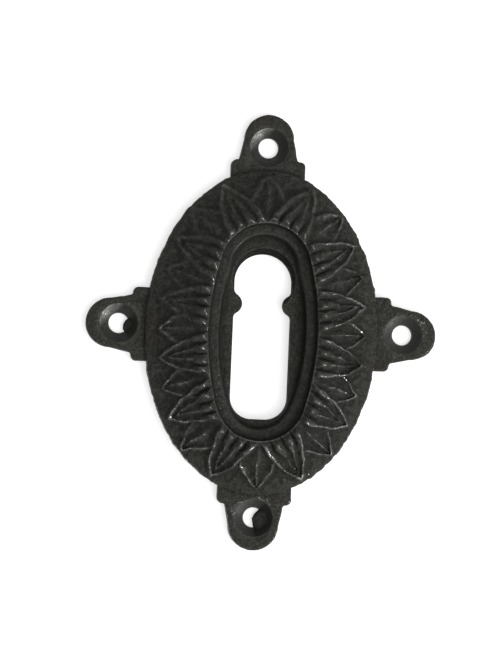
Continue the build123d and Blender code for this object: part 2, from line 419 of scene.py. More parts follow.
def grown_outline(outline, amount):
    """A closed outline, counter-clockwise, moved outwards by an even amount."""
    moved = []
    for k, here in enumerate(outline):
        along = outline[(k + 1) % len(outline)] - outline[k - 1]
        outward = Vector((along.y, -along.x)).normalized()
        moved.append(here + outward * amount)
    return moved


def closed_stack(name, rings):
    """Closed mesh through rings of equally many points, from the bottom up."""
    count = len(rings[0])
    faces = [list(reversed(range(count)))]
    for level in range(len(rings) - 1):
        low, high = level * count, (level + 1) * count
        for k in range(count):
            n = (k + 1) % count
            faces.append((low + k, low + n, high + n, high + k))
    faces.append(list(range((len(rings) - 1) * count, len(rings) * count)))
    mesh = bpy.data.meshes.new(name)
    mesh.from_pydata([point for ring in rings for point in ring], [], faces)
    blank = bpy.data.objects.new(name, mesh)
    bpy.context.scene.collection.objects.link(blank)
    return blank


def stacked_outline(name, outline, levels):
    """Closed mesh through copies of one outline, each level being (growth, height) from the bottom up."""
    return closed_stack(name, [[(p.x, p.y, z) for p in grown_outline(outline, growth)] for growth, z in levels])


def arc(centre, radius, start, end, steps):
    """Points along an arc, with angles in degrees."""
    angles = [math.radians(start + (end - start) * k / steps) for k in range(steps + 1)]
    return [Vector((centre[0] + radius * math.cos(a), centre[1] + radius * math.sin(a))) for a in angles]


def subdivided(outline, longest):
    """The closed outline with its long sides divided."""
    path = []
    for here, after in zip(outline, outline[1:] + outline[:1]):
        pieces = max(1, math.ceil((after - here).length / longest))
        path += [here.lerp(after, k / pieces) for k in range(pieces)]
    return path


def lug_blank(sizes):
    """One lug, pointing along +Y with its screw hole at the origin."""
    mm = in_millimetres(sizes)
    end = mm("lug_end_width") / 2
    foot = mm("lug_foot_width") / 2
    shoulder = mm("shoulder_width") / 2
    face = -mm("shoulder_setback")
    root = -mm("lug_root")
    corners = [
        (shoulder, root, 0, 0),
        (shoulder, face, 0.8, 6),
        (foot + 0.25, face, 0.4, 5),
        (end, mm("lug_tip") - end, 0, 0),
    ]
    right = rounded_path([(0, root, 0, 0), *corners, (end, mm("lug_tip"), 0, 0)])[1:-1]
    tip = arc((0, mm("lug_tip") - end), end, 0, 180, 36)[1:-1]
    left = [Vector((-p.x, p.y)) for p in reversed(right)]
    outline = subdivided(right + tip + left, 0.5)
    bend = mm("lug_round")
    levels = [(-0.5, 0), (-0.2, 0), (0, 0.2), (0, mm("lug_height") - bend)]
    for step in range(1, 7):
        turn = math.radians(90 * step / 6)
        levels.append((-bend * (1 - math.cos(turn)), mm("lug_height") - bend * (1 - math.sin(turn))))
    levels.append((-bend - 0.15, mm("lug_height")))
    return stacked_outline("lug_blank", outline, levels)


def keyhole_cutter(sizes):
    """Solid of the keyhole's opening, with a worn lip at the floor of the well."""
    mm = in_millimetres(sizes)
    half = mm("keyhole_width") / 2
    nub_x = mm("throat_width") / 2 + mm("nub_radius")
    nub_y, nub = mm("nub_offset"), mm("nub_radius")
    # Where the rounded foot of a nub leaves the side of the slot
    blend = 0.8
    foot_reach = math.sqrt((nub + blend) ** 2 - (nub_x - half + blend) ** 2)
    turn = math.degrees(math.asin(foot_reach / (nub + blend)))
    right = arc((half - mm("slot_corner"), -mm("slot_foot") + mm("slot_corner")), mm("slot_corner"), -90, 0, 14)
    right += arc((half - blend, nub_y - foot_reach), blend, 0, turn, 5)
    right += arc((nub_x, nub_y), nub, 180 + turn, 180 - turn, 12)
    right += arc((half - blend, nub_y + foot_reach), blend, -turn, 0, 5)
    eye = arc((0, mm("eye_offset")), half, 0, 180, 40)
    left = [Vector((-p.x, p.y)) for p in reversed(right)]
    outline = subdivided(right + eye[1:-1] + left, 0.6)
    lip = 0.22
    levels = [(0.25, -1.0), (0.25, -0.02), (0, 0.25), (0, mm("floor_height") - lip)]
    for step in range(1, 5):
        angle = math.radians(90 * step / 4)
        levels.append((lip * (1 - math.cos(angle)), mm("floor_height") - lip * (1 - math.sin(angle))))
    levels.append((lip, mm("mouth_height") + 2))
    return stacked_outline("keyhole_cutter", outline, levels)


def turned_cutter(name, centre, profile):
    """Solid of revolution about an upright axis, through (radius, height) points from the bottom up."""
    circle = arc((0, 0), 1.0, 0, 360, 72)[:-1]
    rings = [[(centre[0] + p.x * r, centre[1] + p.y * r, z) for p in circle] for r, z in profile]
    return closed_stack(name, rings)


def eye_cutter(sizes):
    """Solid of the eye's bevel, set off upwards so that it dies out at the nubs."""
    mm = in_millimetres(sizes)
    half, bevel = mm("keyhole_width") / 2, mm("eye_bevel")
    top = mm("floor_height")
    profile = [
        (half - bevel / 2, top - mm("eye_bevel_depth")),
        (half + bevel / 2 - 0.1, top - 0.16),
        (half + bevel / 2 + 0.02, top - 0.02),
        (half + bevel / 2 + 0.06, top + 0.05),
    ]
    return turned_cutter("eye_cutter", (0, mm("eye_offset") + bevel / 2), profile)


def screw_cutter(sizes):
    """Solid of a countersunk screw hole with a worn lip."""
    mm = in_millimetres(sizes)
    hole, sink, top = mm("screw_hole") / 2, mm("screw_sink") / 2, mm("lug_height")
    profile = [
        (hole + 0.2, -1.0),
        (hole + 0.2, -0.02),
        (hole, 0.2),
        (hole, top - (sink - hole) - 0.1),
        (hole + 0.12, top - (sink - hole) + 0.1),
        (sink - 0.12, top - 0.14),
        (sink, top - 0.05),
        (sink + 0.14, top),
        (sink + 0.3, top + 0.03),
        (sink + 0.4, top + 1.0),
    ]
    return turned_cutter("screw_cutter", (0, 0), profile)


class WreathTree:
    """Node tree that carries the section round the oval, carves the petals and joins the lugs."""

    FLOATS = (
        "Crest Half Width", "Crest Half Length", "Crest End Radius", "Plate Half Width", "Plate Half Length",
        "Mouth Inset", "Mouth Height", "Fan", "Border Half", "Border Reach", "Inner Half", "Inner Reach", "Relief",
        "Wall", "Channel", "Groove", "Back Half", "Back Reach", "Back Edge", "Back Midrib", "Back Flute",
        "Wander", "Unevenness", "Skin", "Seed", "Side Screw", "Side Rise", "End Screw",
        "Hole Radius", "Sink Radius", "Floor Height", "Lug Height",
    )
    OBJECTS = ("Lug", "Keyhole", "Eye", "Screw")
    MATERIALS = ("Cast Iron", "Drilled Iron", "Keyhole Wall")

    def __init__(self):
        self.tree = bpy.data.node_groups.new("petal_wreath_casting", "GeometryNodeTree")
        new_socket = self.tree.interface.new_socket
        new_socket("Section", in_out="INPUT", socket_type="NodeSocketGeometry")
        kinds = {"Steps Round": "NodeSocketInt", "Rows": "NodeSocketInt", "Petals": "NodeSocketInt"}
        kinds.update({name: "NodeSocketFloat" for name in self.FLOATS})
        kinds.update({name: "NodeSocketObject" for name in self.OBJECTS})
        kinds.update({name: "NodeSocketMaterial" for name in self.MATERIALS})
        self.identifiers = {}
        for name, kind in kinds.items():
            self.identifiers[name] = new_socket(name, in_out="INPUT", socket_type=kind).identifier
        new_socket("Casting", in_out="OUTPUT", socket_type="NodeSocketGeometry")
        self.entry = self.tree.nodes.new("NodeGroupInput")
        self.build()

    def given(self, name):
        """The field of a named input."""
        return Field(self.tree, self.entry.outputs[name])

    def noise(self, place, scale, detail, offset):
        """Noise about 0, at so many waves to the millimetre."""
        shift = joined(self.tree, self.given("Seed") + offset, offset, 0.0)
        return noise(self.tree, vector_math(self.tree, "ADD", place, shift), scale, detail)

    def crest_arcs(self, x, y):
        """Sizes of the crest's end and side arcs, and whether a place lies towards an end arc."""
        wide, long, end = (self.given(f"Crest {part}") for part in ("Half Width", "Half Length", "End Radius"))
        centre = long - end
        side = (wide.squared() + centre.squared() - end.squared()) / ((wide - end) * 2.0)
        side_centre = side - wide
        at_end = (y.abs() * end * side_centre).math("GREATER_THAN", x.abs() * centre * side)
        return end, centre, side, side_centre, at_end

    def crest(self):
        """Oval line of the crest, drawn with two round end arcs and two flat side arcs."""
        tree = self.tree
        circle = add_node(tree, "GeometryNodeCurvePrimitiveCircle", {"mode": "RADIUS"}, Resolution=1440, Radius=1.0)
        x, y, _ = split(add_node(tree, "GeometryNodeInputPosition"))
        end, centre, side, side_centre, at_end = self.crest_arcs(x, y)
        to_end = centre * y.abs() + (end.squared() - (centre * x).squared()).at_least(0.0).sqrt()
        to_side = (side.squared() - (side_centre * y).squared()).sqrt() - side_centre * x.abs()
        reach = to_side + (to_end - to_side) * at_end
        oval = joined(tree, x * reach, y * reach, 0.0)
        return add_node(tree, "GeometryNodeSetPosition", Geometry=circle, Position=oval)

    def crest_normal(self, x, y):
        """Direction square to the crest at a point of it."""
        end, centre, side, side_centre, at_end = self.crest_arcs(x, y)
        side_x = (x + x.math("SIGN") * side_centre) / side
        side_y = y / side
        end_x = x / end
        end_y = (y - y.math("SIGN") * centre) / end
        return side_x + (end_x - side_x) * at_end, side_y + (end_y - side_y) * at_end

    def station(self, crest, place):
        """Root, heading and run to the rim at a share of the way round the crest."""
        point = add_node(
            self.tree, "GeometryNodeSampleCurve", {"mode": "FACTOR", "use_all_curves": True}, output=1,
            Curves=crest, Factor=place,
        )
        x, y, _ = split(point)
        fanned = y * self.given("Fan")
        size = hypotenuse(x, fanned)
        head_x, head_y = x / size, fanned / size
        wide, long = self.given("Plate Half Width"), self.given("Plate Half Length")
        a = (head_x / wide).squared() + (head_y / long).squared()
        b = x * head_x / wide.squared() + y * head_y / long.squared()
        c = (x / wide).squared() + (y / long).squared() - 1.0
        run = ((b.squared() - a * c).sqrt() - b) / a
        return x, y, head_x, head_y, run

    def local(self, station, x, y):
        """Coordinates across and along the petal of a station."""
        root_x, root_y, head_x, head_y, _ = station
        from_x, from_y = x - root_x, y - root_y
        across = from_x * head_y - from_y * head_x
        along = from_x * head_x + from_y * head_y
        return across, along

    @staticmethod
    def arch(across, along, half, reach):
        """Distance inside a pointed arch that is so wide at its foot and so long."""
        radius = (half.squared() + reach.squared()) / (half * 2.0)
        return radius - hypotenuse(across.abs() + radius - half, along.at_least(0.0))

    def front_petal(self, across, along):
        """Height of the front petals: a border ridge, a channel and a grooved inner leaf."""
        border = self.arch(across, along, self.given("Border Half"), self.given("Border Reach"))
        inner = self.arch(across, along, self.given("Inner Half"), self.given("Inner Reach"))
        # Towards the crest the ridges swell into round knuckles with narrow cuts between them
        knuckle = along.ramp(2.6, 1.0)
        wall = border.ramp((self.given("Wall") + knuckle * 0.2) * -1.0, knuckle * -0.15)
        between = (border / (border - inner).at_least(0.05)).at_least(0.0).at_most(1.0)
        channel = between * (1.0 - between) * 4.0
        cleft = (1.0 - (between * 2.0 - 1.0).abs()).math("POWER", 2.2)
        inside = inner.at_least(0.0)
        middle = across.abs()
        off_axis = middle / (middle + inside).at_least(0.02)
        groove = (1.0 - off_axis.squared()) * inside.ramp(0.0, 0.05)
        slit = (1.0 - off_axis).math("POWER", 2.2) * inside.ramp(0.0, 0.05)
        shallow = channel * self.given("Channel") + groove * self.given("Groove")
        deep = (cleft + slit) * (self.given("Channel") * 1.8)
        cut = shallow.soft_max(0.0, 0.14)
        cut = cut + (deep - cut) * knuckle
        swell = along.ramp(-0.3, 0.7) * along.ramp(1.9, 0.8) * 0.26
        return wall * (self.given("Relief") + swell - cut)

    def back_petal(self, across, along):
        """Height of the back petals: a midrib between two hollows, with a raised lip."""
        inside = self.arch(across, along, self.given("Back Half"), self.given("Back Reach"))
        inner = inside.at_least(0.0)
        between = inner / (inner + across.abs()).at_least(0.02)
        hollow = (between * (1.0 - between) * 4.0).soft_max(0.0, 0.35)
        edge, midrib = self.given("Back Edge"), self.given("Back Midrib")
        height = edge + (midrib - edge) * between - hollow * self.given("Back Flute")
        return height * inside.ramp(self.given("Wall") * -0.8, 0.02) * (along.ramp(0.2, 3.4) * 0.8 + 0.2)

    def body(self):
        """Oval body with its carved wreath, as one closed mesh."""
        tree = self.tree
        steps, rows = self.given("Steps Round"), self.given("Rows")
        grid = add_node(
            tree, "GeometryNodeMeshGrid", Size_X=steps, Size_Y=rows, Vertices_X=steps + 1.0, Vertices_Y=rows + 1.0
        )
        grid_x, grid_y, _ = split(add_node(tree, "GeometryNodeInputPosition"))
        place = (grid_x + steps / 2.0).round() / steps
        row = (grid_y + rows / 2.0).round()
        row = row.math("MODULO", rows)
        section = self.given("Section")

        def sampled(kind, value):
            node = tree.nodes.new("GeometryNodeSampleIndex")
            node.data_type = kind
            wire(tree, section, node.inputs["Geometry"])
            wire(tree, value, node.inputs["Value"])
            wire(tree, row, node.inputs["Index"])
            return Field(tree, node.outputs[0])

        band, growth, height = split(sampled("FLOAT_VECTOR", add_node(tree, "GeometryNodeInputPosition")))
        carved = sampled(
            "FLOAT", add_node(tree, "GeometryNodeInputNamedAttribute", {"data_type": "FLOAT"}, Name="carved")
        )
        crest = self.crest()
        here = self.station(crest, place)
        x = here[0] + here[2] * here[4] * band
        y = here[1] + here[3] * here[4] * band
        # Growth goes square to the crest there, and along the plate's own axes at the rim
        crest_x, crest_y = self.crest_normal(here[0], here[1])
        x = x + growth * (crest_x + (x / self.given("Plate Half Width") - crest_x) * band)
        y = y + growth * (crest_y + (y / self.given("Plate Half Length") - crest_y) * band)
        rim = joined(tree, here[0] + here[2] * here[4], here[1] + here[3] * here[4], 0.0)
        ragged = (self.noise(rim, 0.8, 2.0, 61.0) * 0.45 - 0.02) * band.ramp(0.86, 1.0)
        x, y = x + ragged * here[2], y + ragged * here[3]
        flat = joined(tree, x, y, 0.0)

        petals = self.given("Petals")
        stray = self.given("Wander")
        stray_x = self.noise(flat, 0.45, 1.0, 11.0) * stray
        stray_y = self.noise(flat, 0.45, 1.0, 23.0) * stray
        front = self.station(crest, ((place * petals * 0.999999).floor() + 0.5) / petals)
        back = self.station(crest, (place * petals).round() / petals)
        front_height = self.front_petal(*self.local(front, x + stray_x, y + stray_y))
        back_height = self.back_petal(*self.local(back, x + stray_x, y + stray_y))
        back_height = back_height * (self.noise(flat, 0.4, 1.0, 83.0) * 1.3 + 1.0)
        uneven = (self.noise(flat, 0.16, 1.0, 5.0) + self.noise(flat, 0.5, 1.0, 7.0) * 0.8) * self.given("Unevenness")
        uneven = uneven + (x - y) * 0.006 + 1.0
        relief = front_height.soft_max(back_height, 0.08) * uneven * band.ramp(1.0, 0.93)
        # Orange-peel roughness of the ground, which the knuckles were rubbed free of
        peel = self.noise(flat, 1.1, 2.0, 71.0) * self.given("Skin") * 2.8
        relief = relief + peel * band.ramp(0.12, 0.4) * band.ramp(1.0, 0.92)
        from_mouth = growth + self.given("Mouth Inset") + band * here[4]
        hump = self.given("Mouth Height") + from_mouth - 0.1
        carved_height = (height + relief).soft_min(hump, 0.55)
        height = height + (carved_height - height) * carved

        body = add_node(tree, "GeometryNodeSetPosition", Geometry=grid, Position=joined(tree, x, y, height))
        body = add_node(tree, "GeometryNodeMergeByDistance", Geometry=body, Distance=0.002)
        return self.softened(add_node(tree, "GeometryNodeFlipFaces", Mesh=body))

    def softened(self, geometry):
        """The mesh with its wreath worn soft towards the upper left."""
        tree = self.tree
        place = add_node(tree, "GeometryNodeInputPosition")
        x, y, z = split(place)
        wear = (y - x).ramp(2.0, 28.0) * self.from_crest().ramp(1.0, 1.2) * z.ramp(2.9, 3.3)
        around = add_node(
            tree, "GeometryNodeBlurAttribute", {"data_type": "FLOAT_VECTOR"}, Value=place, Iterations=2, Weight=wear
        )
        return add_node(tree, "GeometryNodeSetPosition", Geometry=geometry, Position=around)

    def skinned(self, geometry):
        """The mesh with the low bumps of the sand mould, and a flat back that sits on the wood."""
        tree = self.tree
        place = add_node(tree, "GeometryNodeInputPosition")
        seated = split(place)[2].ramp(0.0, 0.5)
        cast = self.from_crest().ramp(1.0, 1.4) * 0.75 + 0.25
        bumps = self.noise(place, 1.3, 2.0, 31.0) * cast + self.noise(place, 0.35, 0.0, 47.0)
        normal = add_node(tree, "GeometryNodeInputNormal")
        offset = vector_math(tree, "SCALE", normal, scale=bumps * seated * self.given("Skin"))
        return add_node(tree, "GeometryNodeSetPosition", Geometry=geometry, Offset=offset)

    def stored(self, geometry, name, value):
        """The mesh with a value kept on its points for the materials."""
        return add_node(
            self.tree, "GeometryNodeStoreNamedAttribute", {"data_type": "FLOAT", "domain": "POINT"},
            Geometry=geometry, Name=name, Value=value,
        )

    def standing_out(self, rounds):
        """How far a point stands out of its surroundings, in millimetres."""
        tree = self.tree
        place = add_node(tree, "GeometryNodeInputPosition")
        around = add_node(
            tree, "GeometryNodeBlurAttribute", {"data_type": "FLOAT_VECTOR"}, Value=place, Iterations=rounds
        )
        normal = add_node(tree, "GeometryNodeInputNormal")
        return vector_math(tree, "DOT_PRODUCT", vector_math(tree, "SUBTRACT", place, around), normal, output=1)

    def from_object(self, name):
        """The mesh of an object input."""
        node = self.tree.nodes.new("GeometryNodeObjectInfo")
        wire(self.tree, self.given(name), node.inputs["Object"])
        return Field(self.tree, node.outputs["Geometry"])

    def screw_points(self):
        """Points at the four screw holes, from the right-hand one round to the bottom one."""
        tree = self.tree
        ring = add_node(tree, "GeometryNodeMeshCircle", {"fill_type": "NONE"}, Vertices=4, Radius=1.0)
        ring = add_node(
            tree, "GeometryNodeTransform", Geometry=ring,
            Scale=joined(tree, self.given("Side Screw"), self.given("End Screw"), 1.0),
        )
        index = add_node(tree, "GeometryNodeInputIndex")
        rise = (1.0 - index.math("MODULO", 2.0)) * self.given("Side Rise")
        return add_node(tree, "GeometryNodeSetPosition", Geometry=ring, Offset=joined(tree, 0.0, rise, 0.0))

    def on_lugs(self, geometry):
        """Copies of a mesh at the four screw holes, turned outwards."""
        tree = self.tree
        index = add_node(tree, "GeometryNodeInputIndex")
        turn = joined(tree, 0.0, 0.0, index * (math.pi / 2) - math.pi / 2)
        copies = add_node(
            tree, "GeometryNodeInstanceOnPoints", Points=self.screw_points(), Instance=geometry,
            Rotation=add_node(tree, "FunctionNodeEulerToRotation", Euler=turn),
        )
        return add_node(tree, "GeometryNodeRealizeInstances", Geometry=copies)

    def hole_lumps(self):
        """Lumps in the right side of the left and the bottom screw hole, bigger in the bottom one."""
        tree = self.tree
        hole = self.given("Hole Radius")
        lump = add_node(tree, "GeometryNodeMeshIcoSphere", Radius=1.0, Subdivisions=4)
        index = add_node(tree, "GeometryNodeInputIndex")
        size = hole * (index * 0.5 - 0.15)
        places = add_node(
            tree, "GeometryNodeSetPosition", Geometry=self.screw_points(),
            Offset=joined(tree, hole * 1.28, hole * -0.3, self.given("Lug Height") * 0.38),
        )
        lumps = add_node(
            tree, "GeometryNodeInstanceOnPoints", Points=places, Instance=lump,
            Selection=index.math("GREATER_THAN", 1.5), Scale=joined(tree, size, size, size * 0.3 + 0.1),
        )
        lumps = add_node(tree, "GeometryNodeRealizeInstances", Geometry=lumps)
        place = add_node(tree, "GeometryNodeInputPosition")
        normal = add_node(tree, "GeometryNodeInputNormal")
        lumpiness = vector_math(tree, "SCALE", normal, scale=self.noise(place, 1.1, 1.0, 97.0) * 0.5)
        return add_node(tree, "GeometryNodeSetPosition", Geometry=lumps, Offset=lumpiness)

    def boolean(self, operation, first, *others):
        """Union or difference of closed meshes."""
        node = self.tree.nodes.new("GeometryNodeMeshBoolean")
        node.operation = operation
        node.solver = "MANIFOLD"
        if operation == "DIFFERENCE":
            wire(self.tree, first, node.inputs["Mesh 1"])
        else:
            others = (first, *others)
        for other in others:
            self.tree.links.new(other.socket, node.inputs["Mesh 2"])
        return Field(self.tree, node.outputs["Mesh"])

    def about_screw(self):
        """Place across and along the plate from the axis of the nearest screw hole."""
        x, y, _ = split(add_node(self.tree, "GeometryNodeInputPosition"))
        side_x, side_y = x - x.math("SIGN") * self.given("Side Screw"), y - self.given("Side Rise")
        end_x, end_y = x, y - y.math("SIGN") * self.given("End Screw")
        at_side = hypotenuse(end_x, end_y).math("GREATER_THAN", hypotenuse(side_x, side_y))
        return end_x + (side_x - end_x) * at_side, end_y + (side_y - end_y) * at_side

    def from_screw(self):
        """Distance from the axis of the nearest screw hole."""
        return hypotenuse(*self.about_screw())

    def sink_lean(self):
        """Distance up and to the left of the nearest screw hole."""
        x, y = self.about_screw()
        return (y - x) * math.sqrt(0.5)

    def drilled(self):
        """Faces that the countersinks cut."""
        z = split(add_node(self.tree, "GeometryNodeInputPosition"))[2]
        near = self.from_screw().math("LESS_THAN", self.given("Sink Radius"))
        return near * z.math("LESS_THAN", self.given("Lug Height") - 0.06) * z.math("GREATER_THAN", 0.05)

    def from_crest(self):
        """Distance from the axis of the plate, as a share of the crest's."""
        x, y, _ = split(add_node(self.tree, "GeometryNodeInputPosition"))
        return hypotenuse(x / self.given("Crest Half Width"), y / self.given("Crest Half Length"))

    def beside_keyhole(self):
        """Edges on the floor of the well."""
        z = split(add_node(self.tree, "GeometryNodeInputPosition"))[2]
        inside = self.from_crest().math("LESS_THAN", 0.85)
        return inside * z.math("LESS_THAN", self.given("Floor Height") + 0.2)

    def bored(self):
        """Faces of the keyhole's wall and of the eye's bevel."""
        z = split(add_node(self.tree, "GeometryNodeInputPosition"))[2]
        inside = self.from_crest().math("LESS_THAN", 1.0)
        return inside * z.math("LESS_THAN", self.given("Floor Height") - 0.12)

    def build(self):
        """Joins the body, the lugs and the lumps in two screw holes, cuts the openings and sets the finishes."""
        tree = self.tree
        body = self.skinned(self.body())
        lugs = self.skinned(self.on_lugs(self.from_object("Lug")))
        casting = self.boolean("UNION", body, lugs)
        screws = self.on_lugs(self.from_object("Screw"))
        casting = self.boolean(
            "DIFFERENCE", casting, self.from_object("Keyhole"), self.from_object("Eye"), screws
        )
        casting = self.boolean("UNION", casting, self.hole_lumps())
        casting = add_node(tree, "GeometryNodeSetShadeSmooth", {"domain": "FACE"}, Geometry=casting)
        # Long flat faces beside a cut keep their own shading
        angle = add_node(tree, "GeometryNodeInputMeshEdgeAngle")
        crease = math.radians(38) - self.beside_keyhole() * math.radians(28)
        casting = add_node(
            tree, "GeometryNodeSetShadeSmooth", {"domain": "EDGE"}, Geometry=casting,
            Selection=angle.math("GREATER_THAN", crease), Shade_Smooth=False,
        )
        casting = self.stored(casting, "ridge", self.standing_out(10))
        casting = self.stored(casting, "shelter", self.standing_out(90))
        casting = self.stored(casting, "from_screw", self.from_screw())
        casting = self.stored(casting, "sink_lean", self.sink_lean())
        casting = self.stored(casting, "from_crest", self.from_crest())
        drilled, bored = self.drilled(), self.bored()
        casting = add_node(tree, "GeometryNodeRealizeInstances", Geometry=casting)
        casting = add_node(tree, "GeometryNodeSetMaterial", Geometry=casting, Material=self.given("Cast Iron"))
        casting = add_node(
            tree, "GeometryNodeSetMaterial", Geometry=casting, Selection=drilled, Material=self.given("Drilled Iron")
        )
        casting = add_node(
            tree, "GeometryNodeSetMaterial", Geometry=casting, Selection=bored, Material=self.given("Keyhole Wall")
        )
        exit_node = tree.nodes.new("NodeGroupOutput")
        wire(tree, casting, exit_node.inputs["Casting"])


def shader_group(name, inputs, outputs):
    """An empty shader group with named sockets, given as its tree, input fields and output node."""
    tree = bpy.data.node_groups.new(name, "ShaderNodeTree")
    for key, kind in inputs.items():
        tree.interface.new_socket(key, in_out="INPUT", socket_type=kind)
    for key, kind in outputs.items():
        tree.interface.new_socket(key, in_out="OUTPUT", socket_type=kind)
    entry = tree.nodes.new("NodeGroupInput")
    fields = {key: Field(tree, entry.outputs[key]) for key in inputs}
    return tree, fields, tree.nodes.new("NodeGroupOutput")


def use_group(tree, group, **inputs):
    """A group in a material, with its inputs set."""
    node = tree.nodes.new("ShaderNodeGroup")
    node.node_tree = group
    for name, value in inputs.items():
        wire(tree, value, node.inputs[name.replace("_", " ")])
    return {socket.name: Field(tree, socket) for socket in node.outputs}


def blended(tree, share_of_second, first, second):
    """A mix of two colours."""
    node = tree.nodes.new("ShaderNodeMix")
    node.data_type = "RGBA"
    wire(tree, share_of_second, node.inputs["Factor"])
    sockets = [socket for socket in node.inputs if socket.type == "RGBA"]
    wire(tree, first, sockets[0])
    wire(tree, second, sockets[1])
    return Field(tree, next(socket for socket in node.outputs if socket.type == "RGBA"))


def grain_group():
    """Height of the sand grain in an iron skin, with its pits."""
    tree, given, exit_node = shader_group(
        "sand_cast_grain",
        {"Place": "NodeSocketVector", "Size": "NodeSocketFloat"},
        {"Height": "NodeSocketFloat", "Mottle": "NodeSocketFloat", "Speck": "NodeSocketFloat"},
    )
    waves = 1.0 / given["Size"]
    fine = noise(tree, given["Place"], waves, 3.0, 0.65)
    coarse = noise(tree, given["Place"], waves * 0.3, 2.0)
    cells = add_node(tree, "ShaderNodeTexVoronoi", Vector=given["Place"], Scale=waves * 0.35)
    pits = cells.ramp(0.28, 0.05)
    wire(tree, fine + coarse * 1.3 - pits * 0.35, exit_node.inputs["Height"])
    wire(tree, (coarse + fine * 0.6).ramp(-0.25, 0.25), exit_node.inputs["Mottle"])
    wire(tree, noise(tree, given["Place"], waves * 0.75, 3.0, 0.75).ramp(-0.14, 0.14), exit_node.inputs["Speck"])
    return tree


def tint_group():
    """Colour of old waxed iron: painted shade in sheltered places and in the well, ridges rubbed with a painted
    highlight towards the lower right, and rusty in patches.
    """
    colours = ("Iron", "Worn", "Hollow", "Rust")
    tree, given, exit_node = shader_group(
        "waxed_iron_tint",
        {
            "Place": "NodeSocketVector", "Ridge": "NodeSocketFloat", "Shelter": "NodeSocketFloat",
            "From Crest": "NodeSocketFloat", "Mottle": "NodeSocketFloat", "Speck": "NodeSocketFloat",
            **{name: "NodeSocketColor" for name in colours},
        },
        {
            "Color": "NodeSocketColor", "Rubbed": "NodeSocketFloat", "Sheltered": "NodeSocketFloat",
            "Shine": "NodeSocketFloat",
        },
    )
    x, y, z = split(given["Place"])
    # Few hands reach into the well, so its ridges are rubbed less, and the painted shade of its recesses is weaker.
    outside = given["From Crest"].ramp(0.9, 0.97)
    # Painted shade in recesses: points lower than their surroundings are darkened, and made rougher.
    sheltered = (given["Shelter"] + given["Ridge"] * 1.5).ramp(0.03, -0.18) * (outside * 0.85 + 0.15)
    rubbed = (given["Ridge"] + (given["Mottle"] - 0.5) * 0.02).ramp(0.03, 0.16)
    raised = z.ramp(0.0032, 0.0042)
    rubbed = rubbed.at_least(given["Shelter"].ramp(0.25, 0.7) * raised) * (outside * 0.85 + 0.15)
    # Painted shade on the well's upper and lower wall and at their feet
    lower_wall = z.ramp(0.0031, 0.0034) * z.ramp(0.0046, 0.0043)
    upper_wall = z.ramp(0.0047, 0.005) * z.ramp(0.0062, 0.0057)
    wall_shade = lower_wall.at_least(upper_wall) * given["From Crest"].ramp(1.03, 0.99)
    foot_shade = given["Ridge"].ramp(-0.03, -0.12) * given["From Crest"].ramp(0.98, 0.92) * 0.7
    rusting = z.ramp(0.0045, 0.0025) * 0.9 + 0.4
    patches = noise(tree, given["Place"], 160.0, 3.0, 0.6).ramp(0.02, 0.24) * (given["Mottle"] * 0.6 + 0.2) * rusting
    tone = blended(tree, given["Mottle"] * 0.35, given["Iron"], given["Hollow"])
    tone = blended(tree, patches * 0.8, tone, given["Rust"])
    tone = blended(tree, given["Speck"] * 0.72, tone, given["Hollow"])
    # Painted shade: recesses, the well's wall bands and their feet are darkened towards the dark colour.
    tone = blended(tree, (sheltered * 0.5).at_least(foot_shade).at_least(wall_shade * 0.85), tone, given["Hollow"])
    # The worn colour on ridges is wear, laid on more strongly towards the lower right, where the key light comes
    # from, as a painted highlight; the coat follows the same side.
    key_side = (noise(tree, given["Place"], 130.0, 1.0) * 1.6 + (x - y) * 22.0).ramp(-0.75, 0.35)
    tone = blended(tree, rubbed * (key_side * 0.5 + 0.2), tone, given["Worn"])
    wire(tree, tone, exit_node.inputs["Color"])
    wire(tree, rubbed, exit_node.inputs["Rubbed"])
    wire(tree, sheltered, exit_node.inputs["Sheltered"])
    glints = noise(tree, given["Place"], 6000.0, 1.0).ramp(0.19, 0.28) * (key_side * 0.6 + 0.1)
    lip = given["From Crest"].ramp(0.92, 0.96) * given["From Crest"].ramp(1.14, 1.02)
    broken = noise(tree, given["Place"], 620.0, 1.0).ramp(-0.16, 0.08) * 0.8 + 0.2
    broken = broken.at_least(given["From Crest"].ramp(1.4, 1.2))
    shine = rubbed * (key_side * broken * 0.85 + 0.15).at_least(lip) * raised
    sparks = noise(tree, given["Place"], 2600.0, 1.0).ramp(0.08, 0.2) * rubbed * key_side
    shine = shine.at_least((glints + sparks) * z.ramp(0.0017, 0.0022))
    wire(tree, shine, exit_node.inputs["Shine"])
    return tree


def attribute(tree, name):
    """A value kept on the mesh."""
    node = tree.nodes.new("ShaderNodeAttribute")
    node.attribute_name = name
    return Field(tree, node.outputs["Fac"])


